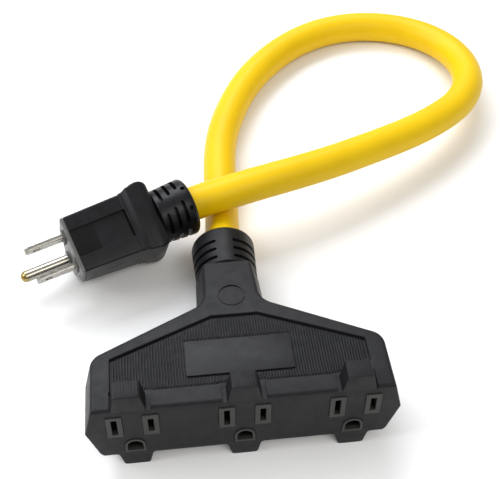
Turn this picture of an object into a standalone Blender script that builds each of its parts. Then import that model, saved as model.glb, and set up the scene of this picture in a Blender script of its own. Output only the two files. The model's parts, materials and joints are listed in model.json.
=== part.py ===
"""Three-outlet extension cord: a grounded plug, a thick round cord and a flat triple-outlet block.

Lengths are in millimetres up to each piece's frame, which turns them into metres.

Tap frame:  +X along the row of outlets, +Y from the outlet face to the neck, +Z up,
            zero on the outlet face, at its middle, level with the soles of the feet.
Plug frame: +X out along the blades, +Z away from the ground pin, zero on the plug's face
            midway between the two flat blades.
"""
import math

import bmesh
import bpy
import numpy as np
from mathutils import Matrix, Vector

MM = 0.001
GAP = 0.3                       # clearance between pieces that touch

# How the two ends lie on the floor.
TAP_TILT = math.radians(5.2)    # the block stands on its front feet and leans back on its strain relief
FOOT_MIDDLE = 3.5               # depth of the line on the soles about which the block leans
TAP_SETBACK = -40.52            # puts the middle of the block's length over the origin
PLUG_FACE_POINT = (-61.2, 40.3, 21.1)
PLUG_AZIMUTH = math.radians(201.2)
PLUG_NOSE_DOWN = math.radians(1.5)
PLUG_ROLL = math.radians(-24.5)

# Contact layout shared by the outlets and the plug: a grounded 15 A, 125 V pattern.
BLADE_OFFSET = 6.35             # each flat blade from the middle
GROUND_DROP = 11.9              # ground pin below the blades
BLADE_HEIGHT = 6.35
BLADE_THICKNESS = 1.52
PIN_RADIUS = 2.4

# Outlet block.
OUTLET_PITCH = 39.1
OUTLETS = (-OUTLET_PITCH, 0.0, OUTLET_PITCH)
SLOT_Z = 23.8
PARTING_Z = 20.5                # widest level of the shell
BODY_HALF = 55.9
BODY_BOTTOM = 6.3
BODY_TOP = 33.6
SHOULDER_Y = 53.6               # where the sloping rear edges would meet the middle plane
SHOULDER_SLOPE = 0.51
NECK_HALF = (13.5, 12.5)        # at the shoulder and at the end
NECK_START = 50.0
NECK_END = 66.0
NECK_SQUEEZE = 0.12             # the neck loses this share of its height by its end
AXIS_Z = 20.3                   # cord axis inside the neck
WALL = 2.2
LUG_DEPTH = 7.2                 # feet and grip lugs, from the outlet face back
FOOT_HALF = (6.0, 4.3)
LUG_PITCH = 40.0
LUG_HALF = (6.0, 4.4)
LUG_TOP = 40.4
PANEL_DEPTH = 1.2
PANEL_OUTLINE = ((-46, 7.4), (46, 7.4), (46, 22), (8.6, 38.2), (-8.6, 38.2), (-46, 22))
BADGE = ((-19.3, 19.3), (12.0, 27.5))

# Contact carrier inside the block.
CARRIER_HALF = 49.0
CARRIER_Z = (8.2, 30.7)
CARRIER_Y = (2.5, 17.5)
COVER_Y = (17.8, 18.9)
BOSS_FRONT = -0.4               # the carrier's frames stand slightly proud of the outlet face
SLOT_FRAME = (2.8, 5.7)         # half sizes
ARCH_FRAME_HALF = 3.7
ARCH_HALF = 2.8
SLOT_HALF = 1.05
LINE_SLOT_HALF = 3.62
NEUTRAL_SLOT_HALF = 4.275
POCKET_FRONT = 6.0
STRIP = 0.7
STRIP_Y = (10.0, 17.2)
LINE_STRIP_Z = 29.15
NEUTRAL_STRIP_Z = 17.9
GROUND_STRIP_Z = 15.4
TAB_HALF = 2.2
TAB_END = 22.0
CUP_Y = (21.5, 28.0)
CHAMBER = ((-10.5, 10.5), (19.0, 42.0), (13.1, 30.6))

# Cord and its cores.
CORD_RADIUS = 7.2
CORE_ANGLES = {"line": math.radians(60), "neutral": math.radians(-60), "ground": math.pi}
CORE_ORBIT = 2.65
SHEATH_RADIUS = 2.1
SHEATH_BORE = 1.5
COPPER_RADIUS = 1.2
CUP_RADIUS = 2.2
SPIGOT_RADIUS = 7.7
CORES_BORE = 5.6
CORD_BORE = 7.5
TAP_RELIEF = (58.0, 66.3, 85.5)     # spigot start, collar and end, along the cord axis
PLUG_RELIEF = (31.0, 37.5, 52.8)
RELIEF_SHOULDER = 1.7           # behind the collar, where the cord's jacket ends
CORD_STEP = 1.5                 # spacing of the cord's points, in diameters: its bends are tight

# Plug: distances behind the face (L), then half width, top, bottom of the sides,
# and the corners of the shoulder, the ridge and the base that holds the ground pin.
PLUG_SECTIONS = (
    (0.0, 12.0, 8.4, -8.0, 8.2, -12.6, 6.3, -17.3, 5.2, -20.9),
    (25.3, 12.7, 8.4, -12.2, 9.4, -15.6, 7.5, -18.6, 6.2, -20.9),
    (29.3, 14.6, 10.4, -13.6, 10.5, -17.0, 8.0, -19.0, 6.5, -20.9),
    (60.0, 14.6, 10.4, -13.6, 10.5, -17.0, 8.0, -19.0, 6.5, -20.9),
)
PLUG_LENGTH = 37.2
PLATE_THICKNESS = 1.2
INSERT_DEPTH = 9.0
BLADE_TIP = 16.8
ROOT_CUP = (12.0, 19.0)         # crimp cups behind the face
PIN_TIP = 21.4
PLUG_AXIS_Z = -1.2

# The cord's free run, over the floor and then over itself, in the object's own frame.
CORD_ROUTE = (
    (0.8, 52.5, 10.7), (1.5, 62, 8.4), (2.2, 73, 7.4), (3.0, 87, 7.25), (4.2, 101, 7.25),
    (7.2, 116, 7.25), (12.6, 131, 7.25), (19.5, 145, 7.25), (28.3, 157.6, 7.25), (38.8, 168.6, 7.25),
    (51, 177.7, 7.25), (65, 184.2, 7.25), (80, 187.0, 7.25), (95, 185.8, 7.25), (109, 180.4, 7.6),
    (120.3, 170.8, 8.6), (127.6, 157.6, 10.0), (129.6, 143.2, 11.6), (126.5, 129.4, 13.3),
    (118.8, 117.3, 15.0), (107.5, 107, 16.8), (94.5, 98.3, 18.5), (80, 90.5, 20.2), (65, 83.4, 21.8),
    (49.5, 76.6, 23.3), (34, 71, 24.4), (18.5, 66.4, 24.8), (4, 63.2, 23.7),
)

LATHE_STEPS = 24


def tap_frame():
    """Tap frame to metres on the floor."""
    return (Matrix.Scale(MM, 4) @ Matrix.Translation((0, TAP_SETBACK, 0))
            @ Matrix.Rotation(-TAP_TILT, 4, 'X') @ Matrix.Translation((0, -FOOT_MIDDLE, 0)))


def plug_frame():
    """Plug frame to metres on the floor."""
    return (Matrix.Scale(MM, 4) @ Matrix.Translation(PLUG_FACE_POINT)
            @ Matrix.Rotation(PLUG_AZIMUTH, 4, 'Z') @ Matrix.Rotation(PLUG_NOSE_DOWN, 4, 'Y')
            @ Matrix.Rotation(PLUG_ROLL, 4, 'X'))


TAP = tap_frame()
PLUG = plug_frame()

# Lathe axis Z, with X as "up", laid along each end's cord axis and pointing to the cord.
TAP_AXIS = Matrix.Translation((0, 0, AXIS_Z)) @ Matrix(
    ((0, 1, 0, 0), (0, 0, 1, 0), (1, 0, 0, 0), (0, 0, 0, 1)))
PLUG_AXIS = Matrix.Translation((0, 0, PLUG_AXIS_Z)) @ Matrix.Rotation(-math.pi / 2, 4, 'Y')


# ---------------------------------------------------------------- scene and materials

def clear_scene():
    """Remove what the scene holds."""
    for item in list(bpy.data.objects):
        bpy.data.objects.remove(item, do_unlink=True)


def material(name, colour, roughness, metallic=0.0):
    """A Principled material in linear RGB."""
    made = bpy.data.materials.new(name)
    made.use_nodes = True
    shader = made.node_tree.nodes["Principled BSDF"]
    shader.inputs["Base Color"].default_value = (*colour, 1.0)
    shader.inputs["Roughness"].default_value = roughness
    shader.inputs["Metallic"].default_value = metallic
    return made


# ---------------------------------------------------------------- outlines

def rounded(corners, steps=3):
    """Closed outline through (u, v, radius) corners, each turned into an arc of equal steps."""
    outline = []
    for index, (u, v, radius) in enumerate(corners):
        if radius <= 0:
            outline.append((u, v))
            continue
        corner = Vector((u, v))
        before = (Vector(corners[index - 1][:2]) - corner).normalized()
        after = (Vector(corners[(index + 1) % len(corners)][:2]) - corner).normalized()
        half_angle = before.angle(after) / 2
        reach = radius / math.tan(half_angle)
        centre = corner + (before + after).normalized() * radius / math.sin(half_angle)
        start, end = (math.atan2(arm.y, arm.x) for arm in (corner + before * reach - centre,
                                                           corner + after * reach - centre))
        swing = (end - start + math.pi) % (2 * math.pi) - math.pi
        for step in range(steps + 1):
            angle = start + swing * step / steps
            outline.append((centre.x + radius * math.cos(angle), centre.y + radius * math.sin(angle)))
    return outline


def rectangle(centre, half_u, half_v, radius=0.0):
    """Rounded rectangle about a centre."""
    u, v = centre
    return rounded([(u - half_u, v - half_v, radius), (u + half_u, v - half_v, radius),
                    (u + half_u, v + half_v, radius), (u - half_u, v + half_v, radius)])


def arch(centre, half, steps=8):
    """Flat-bottomed arch with a round top, for a ground contact."""
    u, v = centre
    top = [(u + half * math.cos(math.pi * k / steps), v + half * math.sin(math.pi * k / steps))
           for k in range(steps + 1)]
    return [(u - half, v - half), (u + half, v - half)] + top


# ---------------------------------------------------------------- solids, as bmeshes in millimetres

def loft(rings):
    """Closed solid through rings of equal length."""
    bm = bmesh.new()
    rows = [[bm.verts.new(point) for point in ring] for ring in rings]
    count = len(rows[0])
    for lower, upper in zip(rows, rows[1:]):
        for k in range(count):
            bm.faces.new((lower[k], lower[(k + 1) % count], upper[(k + 1) % count], upper[k]))
    bm.faces.new(rows[0][::-1])
    bm.faces.new(rows[-1])
    bmesh.ops.recalc_face_normals(bm, faces=bm.faces)
    return bm


def prism(outline, axis, low, high):
    """Outline in the two other axes, in alphabetical order, carried along an axis."""
    place = {'X': lambda u, v, w: (w, u, v), 'Y': lambda u, v, w: (u, w, v),
             'Z': lambda u, v, w: (u, v, w)}[axis]
    return loft([[place(u, v, w) for u, v in outline] for w in (low, high)])


def box(x, y, z):
    """Box from three (low, high) spans."""
    return prism([(x[0], y[0]), (x[1], y[0]), (x[1], y[1]), (x[0], y[1])], 'Z', *z)


def lathe(profile, place, closed=False, steps=LATHE_STEPS):
    """Profile of (radius, along) turned about the Z axis of a placing matrix."""
    bm = bmesh.new()
    verts = [bm.verts.new((radius, 0, along)) for radius, along in profile]
    pairs = list(zip(verts, verts[1:]))
    if closed:
        pairs.append((verts[-1], verts[0]))
    edges = [bm.edges.new(pair) for pair in pairs]
    bmesh.ops.spin(bm, geom=verts + edges, axis=(0, 0, 1), cent=(0, 0, 0),
                   angle=2 * math.pi, steps=steps, use_merge=True)
    bmesh.ops.remove_doubles(bm, verts=bm.verts, dist=0.001)
    bmesh.ops.recalc_face_normals(bm, faces=bm.faces)
    bm.transform(place)
    return bm


def ring_sector(inner, outer, along, width, start, end, place, steps=10):
    """Part of a flat ring about the Z axis of a placing matrix, between two angles in degrees."""
    angles = [math.radians(start + (end - start) * k / steps) for k in range(steps + 1)]
    outline = [(outer * math.cos(a), outer * math.sin(a)) for a in angles]
    outline += [(inner * math.cos(a), inner * math.sin(a)) for a in reversed(angles)]
    bm = prism(outline, 'Z', along - width / 2, along + width / 2)
    bm.transform(place)
    return bm


def rings_along(path, radius, sides):
    """Circles across a path, carried from point to point without twisting."""
    points = [Vector(point) for point in path]
    normal = (points[1] - points[0]).orthogonal().normalized()
    rings = []
    for index, point in enumerate(points):
        ahead = points[min(index + 1, len(points) - 1)]
        tangent = (ahead - points[max(index - 1, 0)]).normalized()
        normal = (normal - tangent * normal.dot(tangent)).normalized()
        across = tangent.cross(normal)
        rings.append([point + (normal * math.cos(a) + across * math.sin(a)) * radius
                      for a in np.linspace(0, 2 * math.pi, sides, endpoint=False)])
    return rings


def rod(path, radius, sides=10):
    """Solid round rod along a path."""
    return loft(rings_along(path, radius, sides))


def hose(path, outer, inner, sides=10):
    """Round tube along a path, open at both ends."""
    bm = bmesh.new()
    walls = rings_along(path, outer, sides) + rings_along(path, inner, sides)[::-1]
    rows = [[bm.verts.new(point) for point in ring] for ring in walls]
    for index, row in enumerate(rows):
        after = rows[(index + 1) % len(rows)]
        for k in range(sides):
            bm.faces.new((row[k], row[(k + 1) % sides], after[(k + 1) % sides], after[k]))
    bmesh.ops.recalc_face_normals(bm, faces=bm.faces)
    return bm


def together(parts):
    """Several separate bodies in one bmesh, to cut or to join in one go."""
    whole = bmesh.new()
    for part in parts:
        mesh = bpy.data.meshes.new("part")
        part.to_mesh(mesh)
        part.free()
        whole.from_mesh(mesh)
        bpy.data.meshes.remove(mesh)
    return whole


# ---------------------------------------------------------------- objects

def piece(name, bm, surface):
    """Object from a bmesh, still in its own frame's millimetres."""
    mesh = bpy.data.meshes.new(name)
    bm.to_mesh(mesh)
    bm.free()
    mesh.materials.append(surface)
    made = bpy.data.objects.new(name, mesh)
    bpy.context.scene.collection.objects.link(made)
    return made


def combine(target, bm, operation):
    """Boolean the target with a bmesh in the same frame, and apply it."""
    tool = piece(target.name + "_tool", bm, target.data.materials[0])
    step = target.modifiers.new(operation.lower(), 'BOOLEAN')
    step.solver = 'EXACT'
    step.operation = operation
    step.object = tool
    evaluated = target.evaluated_get(bpy.context.evaluated_depsgraph_get())
    result = bpy.data.meshes.new_from_object(evaluated)
    surface = target.data.materials[0]
    target.modifiers.clear()
    target.data = result
    result.materials.clear()
    result.materials.append(surface)
    bpy.data.objects.remove(tool, do_unlink=True)


def cut(target, bm):
    """Take a bmesh away from the target."""
    combine(target, bm, 'DIFFERENCE')


def fuse(target, bm):
    """Add a bmesh to the target."""
    combine(target, bm, 'UNION')


def settle(target, frame, smooth_angle=35.0):
    """Move a finished piece into metres on the floor, with its round faces shaded smooth."""
    target.data.transform(frame)
    target.data.shade_smooth()
    target.data.set_sharp_from_angle(angle=math.radians(smooth_angle))


# ---------------------------------------------------------------- outlet block

def body_ring(z, inset):
    """Shell outline at one level: straight sides, sloping rear edges and the neck."""
    half = BODY_HALF - inset
    shoulder = SHOULDER_Y - inset * math.hypot(1, SHOULDER_SLOPE)
    near, far = (width - inset for width in NECK_HALF)
    right = [(half, 0, 0.8), (half, shoulder - SHOULDER_SLOPE * half, 9.0 - inset),
             (near, shoulder - SHOULDER_SLOPE * near, 5.0 + inset), (far, NECK_END, 1.0)]
    left = [(-x, y, radius) for x, y, radius in reversed(right)]
    ring = []
    for x, y in rounded(right + left, steps=4):
        squeeze = 1 - NECK_SQUEEZE * min(max((y - NECK_START) / (NECK_END - NECK_START), 0), 1)
        ring.append((x, y, AXIS_Z + (z - AXIS_Z) * squeeze))
    return ring


def outlet_faces(slot_size, arch_half, low, high):
    """Prisms at every slot and ground contact of the outlet face."""
    parts = []
    for x in OUTLETS:
        for side, half_height in ((-1, slot_size[1]), (1, slot_size[2])):
            centre = (x + side * BLADE_OFFSET, SLOT_Z)
            parts.append(prism(rectangle(centre, slot_size[0], half_height), 'Y', low, high))
        parts.append(prism(arch((x, SLOT_Z - GROUND_DROP), arch_half), 'Y', low, high))
    return together(parts)


def make_shell(surface):
    """Outer moulding of the block, hollow for the carrier and bored for the strain relief."""
    levels = ((BODY_BOTTOM, 5.0), (8.0, 3.9), (PARTING_Z, 0.0), (32.8, 2.9), (BODY_TOP, 3.7))
    body = loft([body_ring(z, inset) for z, inset in levels])
    bent_faces = [face for face in body.faces if len(face.verts) > 4]
    bmesh.ops.triangulate(body, faces=bent_faces)
    shell = piece("tap_shell", body, surface)
    lugs = []
    for x in OUTLETS:
        foot = [(x - FOOT_HALF[0], 7.2), (x - FOOT_HALF[1], -1.0),
                (x + FOOT_HALF[1], -1.0), (x + FOOT_HALF[0], 7.2)]
        lugs.append(prism(foot, 'Y', 0.1, LUG_DEPTH))
    for x in (-LUG_PITCH, 0.0, LUG_PITCH):
        lug = [(x - LUG_HALF[0], 32.4), (x + LUG_HALF[0], 32.4),
               (x + LUG_HALF[1], LUG_TOP), (x - LUG_HALF[1], LUG_TOP)]
        lugs.append(prism(lug, 'Y', 0.1, LUG_DEPTH))
    fuse(shell, together(lugs))
    cut(shell, prism(PANEL_OUTLINE, 'Z', BODY_TOP - PANEL_DEPTH, BODY_TOP + 2))
    fuse(shell, box(*BADGE, (BODY_TOP - PANEL_DEPTH - 0.5, BODY_TOP - 0.3)))
    inside = CARRIER_HALF + GAP
    cut(shell, box((-inside, inside), (WALL, COVER_Y[1] + GAP),
                   (CARRIER_Z[0] - GAP, CARRIER_Z[1] + GAP)))
    cut(shell, box(*CHAMBER))
    bore = [(0, 41.8), (6.5, 41.8), (6.5, 57.7), (8.0, 57.7), (8.0, 68), (0, 68)]
    cut(shell, lathe(bore, TAP_AXIS))
    frame_size = (SLOT_FRAME[0] + GAP, SLOT_FRAME[1] + GAP, SLOT_FRAME[1] + GAP)
    cut(shell, outlet_faces(frame_size, ARCH_FRAME_HALF + GAP, -1.0, WALL + 0.4))
    below_floor = box((-0.1, 0.1), (-0.1, 0.1), (-0.02, 0.0))
    below_floor.transform(TAP.inverted())
    cut(shell, below_floor)
    settle(shell, TAP)


def pockets():
    """Rear pockets for the contact leaves of each outlet."""
    parts = []
    for x in OUTLETS:
        line_x = x + BLADE_OFFSET
        neutral_x = x - BLADE_OFFSET
        depth = (POCKET_FRONT, CARRIER_Y[1] + 1)
        parts.append(box((line_x - 2.6, line_x + 2.6), depth, (19.7, LINE_STRIP_Z + STRIP + GAP)))
        parts.append(box((neutral_x - 2.6, neutral_x + 2.6), depth, (NEUTRAL_STRIP_Z - GAP, 28.2)))
        parts.append(box((x - 3.7, x + 3.7), depth, (8.9, GROUND_STRIP_Z + STRIP + 2 * GAP)))
    return together(parts)


def strip_span(side, leaf_reach):
    """X span of a bus strip whose leaves sit to one side of every outlet's middle."""
    return (OUTLETS[0] + side * BLADE_OFFSET - leaf_reach, OUTLETS[-1] + side * BLADE_OFFSET + leaf_reach)


def make_carrier(surface):
    """Light contact carrier, with frames that reach through the outlet face."""
    carrier = piece("tap_contact_carrier",
                    box((-CARRIER_HALF, CARRIER_HALF), CARRIER_Y, CARRIER_Z), surface)
    fuse(carrier, outlet_faces((*SLOT_FRAME, SLOT_FRAME[1]), ARCH_FRAME_HALF,
                               BOSS_FRONT, CARRIER_Y[0] + 0.5))
    cut(carrier, outlet_faces((SLOT_HALF, NEUTRAL_SLOT_HALF, LINE_SLOT_HALF), ARCH_HALF,
                              BOSS_FRONT - 1, POCKET_FRONT + 0.5))
    cut(carrier, pockets())
    channels = []
    for side, reach, low in ((1, 1.45, LINE_STRIP_Z), (-1, 1.45, NEUTRAL_STRIP_Z), (0, 3.05, GROUND_STRIP_Z)):
        start, end = strip_span(side, reach)
        channels.append(box((start - 5 * GAP, end + 5 * GAP), (STRIP_Y[0] - GAP, CARRIER_Y[1] + 1),
                            (low - GAP, low + STRIP + GAP)))
    cut(carrier, together(channels))
    settle(carrier, TAP)


def make_cover(surface):
    """Rear plate that holds the contacts in the carrier, notched for their tabs."""
    cover = piece("tap_carrier_cover", box((-CARRIER_HALF, CARRIER_HALF), COVER_Y, CARRIER_Z), surface)
    clear = GAP + 0.1
    notches = [box((x - TAB_HALF - clear, x + TAB_HALF + clear), (COVER_Y[0] - 1, COVER_Y[1] + 1),
                   (low - clear, low + STRIP + clear))
               for x, low in ((8.0, LINE_STRIP_Z), (-8.0, NEUTRAL_STRIP_Z), (0.0, GROUND_STRIP_Z))]
    cut(cover, together(notches))
    settle(cover, TAP)


def crimp_cup(place, start, end):
    """Round cup that grips a core: closed at its start, open at its end."""
    bore_start = start + 1.2
    profile = [(0, start), (CUP_RADIUS, start), (CUP_RADIUS, end), (SHEATH_BORE, end),
               (SHEATH_BORE, bore_start), (0, bore_start)]
    return lathe(profile, place, steps=12)


def make_bus(name, side, leaf_gap, leaf_z, strip_low, tab_x, cup_z, surface):
    """Pressed bus bar: a strip, a pair of leaves at each outlet, a tab and a crimp cup."""
    start, end = strip_span(side, leaf_gap + 0.6)
    strip = [(start, STRIP_Y[0]), (end, STRIP_Y[0]), (end, STRIP_Y[1]), (tab_x + TAB_HALF, STRIP_Y[1]),
             (tab_x + TAB_HALF, TAB_END), (tab_x - TAB_HALF, TAB_END), (tab_x - TAB_HALF, STRIP_Y[1]),
             (start, STRIP_Y[1])]
    bus = piece(name, prism(strip, 'Z', strip_low, strip_low + STRIP), surface)
    flare = 0.85 if side else 0.35
    leaf = [(leaf_gap, 16.5), (leaf_gap, 8.6), (leaf_gap + flare, 7.0), (leaf_gap + flare + 0.55, 7.0),
            (leaf_gap + 0.6, 8.8), (leaf_gap + 0.6, 16.5)]
    leaves = []
    for x in OUTLETS:
        middle = x + side * BLADE_OFFSET
        for hand in (-1, 1):
            leaves.append(prism([(middle + hand * u, v) for u, v in leaf], 'Z', *leaf_z))
    fuse(bus, together(leaves))
    place = Matrix.Translation((tab_x, 0, cup_z - AXIS_Z)) @ TAP_AXIS
    fuse(bus, crimp_cup(place, *CUP_Y))
    settle(bus, TAP)


# ---------------------------------------------------------------- cores

def core_path(start, angle, place, curve_span, end):
    """Route of one core: straight out of its cup, over to its place round the cord axis, straight on.

    Both ends run along the lathe axis; start is (up, side) at the cup.
    """
    goal = Vector((math.cos(angle), math.sin(angle))) * CORE_ORBIT
    first = Vector(start)
    start_along, curve_end = curve_span
    curve_start = start_along + 1.0
    path = [place @ Vector((*first, start_along))]
    for t in np.linspace(0, 1, 8):
        across = first.lerp(goal, t * t * (3 - 2 * t))
        along = curve_start + (curve_end - curve_start) * t
        path.append(place @ Vector((across.x, across.y, along)))
    path.append(place @ Vector((goal.x, goal.y, end)))
    return path


def make_core(name, start, angle, frame, place, cup, curve_end, end, surface, copper):
    """Insulation and copper of one core, from inside its crimp cup to the end of the cord's jacket."""
    path = core_path(start, angle, place, (cup[1] + GAP, curve_end), end)
    settle(piece(name + "_conductor", hose(path, SHEATH_RADIUS, SHEATH_BORE), surface), frame, 50)
    copper_start = place @ Vector((*start, cup[0] + 1.5))
    settle(piece(name + "_copper", rod([copper_start] + path, COPPER_RADIUS), copper), frame, 50)


# ---------------------------------------------------------------- strain reliefs

def make_relief(name, frame, place, span, radii, stations, surface):
    """Flexible sleeve with a spigot for the housing and rows of half-round slots."""
    spigot_start, start, end = span
    shoulder = start + RELIEF_SHOULDER
    near, far = radii
    rim = 2.4
    outer = [(SPIGOT_RADIUS, spigot_start), (SPIGOT_RADIUS, start), (near, start)]
    for k in range(4):
        angle = math.pi / 2 * k / 3
        outer.append((far - rim + rim * math.cos(angle), end - rim + rim * math.sin(angle)))
    inner = [(CORD_BORE, end), (CORD_BORE, shoulder), (CORES_BORE, shoulder), (CORES_BORE, spigot_start)]
    relief = piece(name, lathe(outer + inner, place, closed=True), surface)
    slots = []
    for along in stations:
        for low in (15, 195):
            slots.append(ring_sector(CORD_BORE + 1.4, far + 3, along, 1.5, low, low + 150, place))
    cut(relief, together(slots))
    settle(relief, frame)


# ---------------------------------------------------------------- plug

def plug_ring(depth, inset=0.0):
    """Plug outline at a distance behind its face: flat top, straight sides and a ridge below."""
    table = np.array(PLUG_SECTIONS)
    half, top, side, *lower = (np.interp(depth, table[:, 0], column) for column in table.T[1:])
    shoulder_y, shoulder_z, ridge_y, ridge_z, base_y, base_z = lower
    right = [(base_y - inset, base_z + inset, 1.2), (ridge_y - inset, ridge_z + inset, 0.8),
             (shoulder_y - inset, shoulder_z + inset, 1.5), (half - inset, side + inset, 2.0),
             (half - inset, top - inset, 2.2)]
    left = [(-y, z, radius) for y, z, radius in reversed(right)]
    return [(-depth, y, z) for y, z in rounded(right + left, steps=3)]


def tee(half, top, step, foot_half, foot):
    """Outline of the plug's inner block: wide for the blades, narrow round the ground pin."""
    return [(-half, top), (-half, step), (-foot_half, step), (-foot_half, foot),
            (foot_half, foot), (foot_half, step), (half, step), (half, top)]


def make_plug_body(surface):
    """Outer moulding of the plug."""
    rings = [plug_ring(PLATE_THICKNESS + GAP), plug_ring(13.0), plug_ring(25.3), plug_ring(29.3),
             plug_ring(34.8), plug_ring(36.5, 0.5), plug_ring(PLUG_LENGTH, 1.3)]
    body = piece("plug_body", loft(rings), surface)
    cut(body, prism(tee(9.8, 4.8, -7.3, 4.7, -16.8), 'X', -INSERT_DEPTH - 2 * GAP, 0))
    cut(body, prism(tee(9.0, 5.0, -9.0, 4.5, -15.0), 'X', -30.5, -INSERT_DEPTH))
    bore = [(0, 30.0), (8.0, 30.0), (8.0, PLUG_LENGTH + 1), (0, PLUG_LENGTH + 1)]
    cut(body, lathe(bore, PLUG_AXIS))
    cut(body, box((-25.3, -2.2), (-5.7, 5.7), (7.6, 12.0)))
    settle(body, PLUG)


def make_insert(surface):
    """Light face plate of the plug, with an inner block that holds the blades."""
    rings = [plug_ring(0.0, 0.4), plug_ring(0.4), plug_ring(PLATE_THICKNESS)]
    insert = piece("plug_face_insert", loft(rings), surface)
    fuse(insert, prism(tee(9.5, 4.5, -7.0, 4.4, -16.5), 'X', -INSERT_DEPTH, -0.6))
    bosses = [prism(rectangle((side * BLADE_OFFSET, 0), 1.9, 4.6, 0.8), 'X', -0.6, 0.9) for side in (-1, 1)]
    bosses.append(lathe([(0, -0.9), (3.7, -0.9), (3.7, 0.6), (0, 0.6)],
                        Matrix.Translation((0, 0, -GROUND_DROP - PLUG_AXIS_Z)) @ PLUG_AXIS))
    fuse(insert, together(bosses))
    half_thickness = BLADE_THICKNESS / 2 + GAP
    holes = [prism(rectangle((side * BLADE_OFFSET, 0), half_thickness, BLADE_HEIGHT / 2 + GAP), 'X', -12, 2)
             for side in (-1, 1)]
    pin_bore = PIN_RADIUS + GAP
    holes.append(lathe([(0, -2), (pin_bore, -2), (pin_bore, 12), (0, 12)],
                       Matrix.Translation((0, 0, -GROUND_DROP - PLUG_AXIS_Z)) @ PLUG_AXIS))
    cut(insert, together(holes))
    settle(insert, PLUG)


def make_blade(name, side, surface):
    """Flat blade with a bevelled tip, a round hole and a crimp cup at its root."""
    half = BLADE_HEIGHT / 2
    outline = [(-12.6, -half), (BLADE_TIP - 1.3, -half), (BLADE_TIP, -half + 1.3),
               (BLADE_TIP, half - 1.3), (BLADE_TIP - 1.3, half), (-12.6, half)]
    y = side * BLADE_OFFSET
    thick = BLADE_THICKNESS / 2
    blade = piece(name, prism(outline, 'Y', y - thick, y + thick), surface)
    hole = lathe([(0, -3), (1.6, -3), (1.6, 3), (0, 3)],
                 Matrix.Translation((12.0, y, 0)) @ Matrix.Rotation(math.pi / 2, 4, 'X'), steps=16)
    cut(blade, hole)
    place = Matrix.Translation((0, y, -PLUG_AXIS_Z)) @ PLUG_AXIS
    fuse(blade, crimp_cup(place, *ROOT_CUP))
    settle(blade, PLUG)


def make_ground_pin(surface):
    """Round ground pin with a domed tip and a crimp cup, turned in one piece."""
    dome = [(PIN_RADIUS * math.sin(a), -PIN_TIP + PIN_RADIUS * (1 - math.cos(a)))
            for a in np.linspace(0, math.pi / 2, 5)]
    start, end = ROOT_CUP
    root = [(PIN_RADIUS, start - 1), (CUP_RADIUS, start - 1), (CUP_RADIUS, end), (SHEATH_BORE, end),
            (SHEATH_BORE, start + 1.2), (0, start + 1.2)]
    place = Matrix.Translation((0, 0, -GROUND_DROP - PLUG_AXIS_Z)) @ PLUG_AXIS
    settle(piece("plug_ground_pin", lathe(dome + root, place, steps=16), surface), PLUG)


# ---------------------------------------------------------------- cord

def smooth_route(points, first_tangent, last_tangent, samples=40):
    """Cubic spline through points, with its end directions given, sampled densely."""
    points = np.array(points)
    spans = np.linalg.norm(np.diff(points, axis=0), axis=1)
    slopes = np.diff(points, axis=0) / spans[:, None]
    count = len(points)
    system = np.eye(count)
    right = np.zeros((count, 3))
    right[0] = first_tangent
    right[-1] = last_tangent
    for k in range(1, count - 1):
        system[k, k - 1:k + 2] = spans[k], 2 * (spans[k - 1] + spans[k]), spans[k - 1]
        right[k] = 3 * (spans[k] * slopes[k - 1] + spans[k - 1] * slopes[k])
    tangents = np.linalg.solve(system, right)
    curve = []
    for k, span in enumerate(spans):
        for t in np.arange(samples) / samples:
            curve.append((1 + 2 * t) * (1 - t) ** 2 * points[k] + t * (1 - t) ** 2 * span * tangents[k]
                         + t * t * (3 - 2 * t) * points[k + 1] - t * t * (1 - t) * span * tangents[k + 1])
    return np.array(curve + [points[-1]])


def evenly_spaced(curve, step):
    """Points at equal distances along a dense curve."""
    along = np.concatenate([[0], np.cumsum(np.linalg.norm(np.diff(curve, axis=0), axis=1))])
    count = round(along[-1] / step) + 1
    wanted = np.linspace(0, along[-1], count)
    return np.column_stack([np.interp(wanted, along, column) for column in curve.T])


def make_cord(surface):
    """The cord, from the shoulder inside one strain relief to the shoulder inside the other."""
    tap_axis = TAP @ TAP_AXIS
    plug_axis = PLUG @ PLUG_AXIS
    tap_out = tap_axis.to_3x3().col[2].normalized()
    plug_out = plug_axis.to_3x3().col[2].normalized()
    tap_end, plug_end = (axis @ Vector((0, 0, span[1] + RELIEF_SHOULDER + GAP))
                         for axis, span in ((tap_axis, TAP_RELIEF), (plug_axis, PLUG_RELIEF)))
    tap_mouth, plug_mouth = (axis @ Vector((0, 0, span[2] + 1.0))
                             for axis, span in ((tap_axis, TAP_RELIEF), (plug_axis, PLUG_RELIEF)))
    free_run = [tuple(tap_mouth)] + [tuple(MM * value for value in point) for point in CORD_ROUTE]
    free_run.append(tuple(plug_mouth))
    curve = smooth_route(free_run, tap_out, -plug_out)
    route = [tap_end, *evenly_spaced(curve, CORD_STEP * 2 * CORD_RADIUS * MM), plug_end]
    data = bpy.data.curves.new("cord", 'CURVE')
    data.dimensions = '3D'
    data.bevel_depth = CORD_RADIUS * MM
    data.bevel_resolution = 4
    data.use_fill_caps = True
    spline = data.splines.new('POLY')
    spline.points.add(len(route) - 1)
    for point, place in zip(spline.points, route):
        point.co = (*place, 1.0)
    spline.use_smooth = True
    data.materials.append(surface)
    bpy.context.scene.collection.objects.link(bpy.data.objects.new("cord", data))


# ---------------------------------------------------------------- assembly

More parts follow.
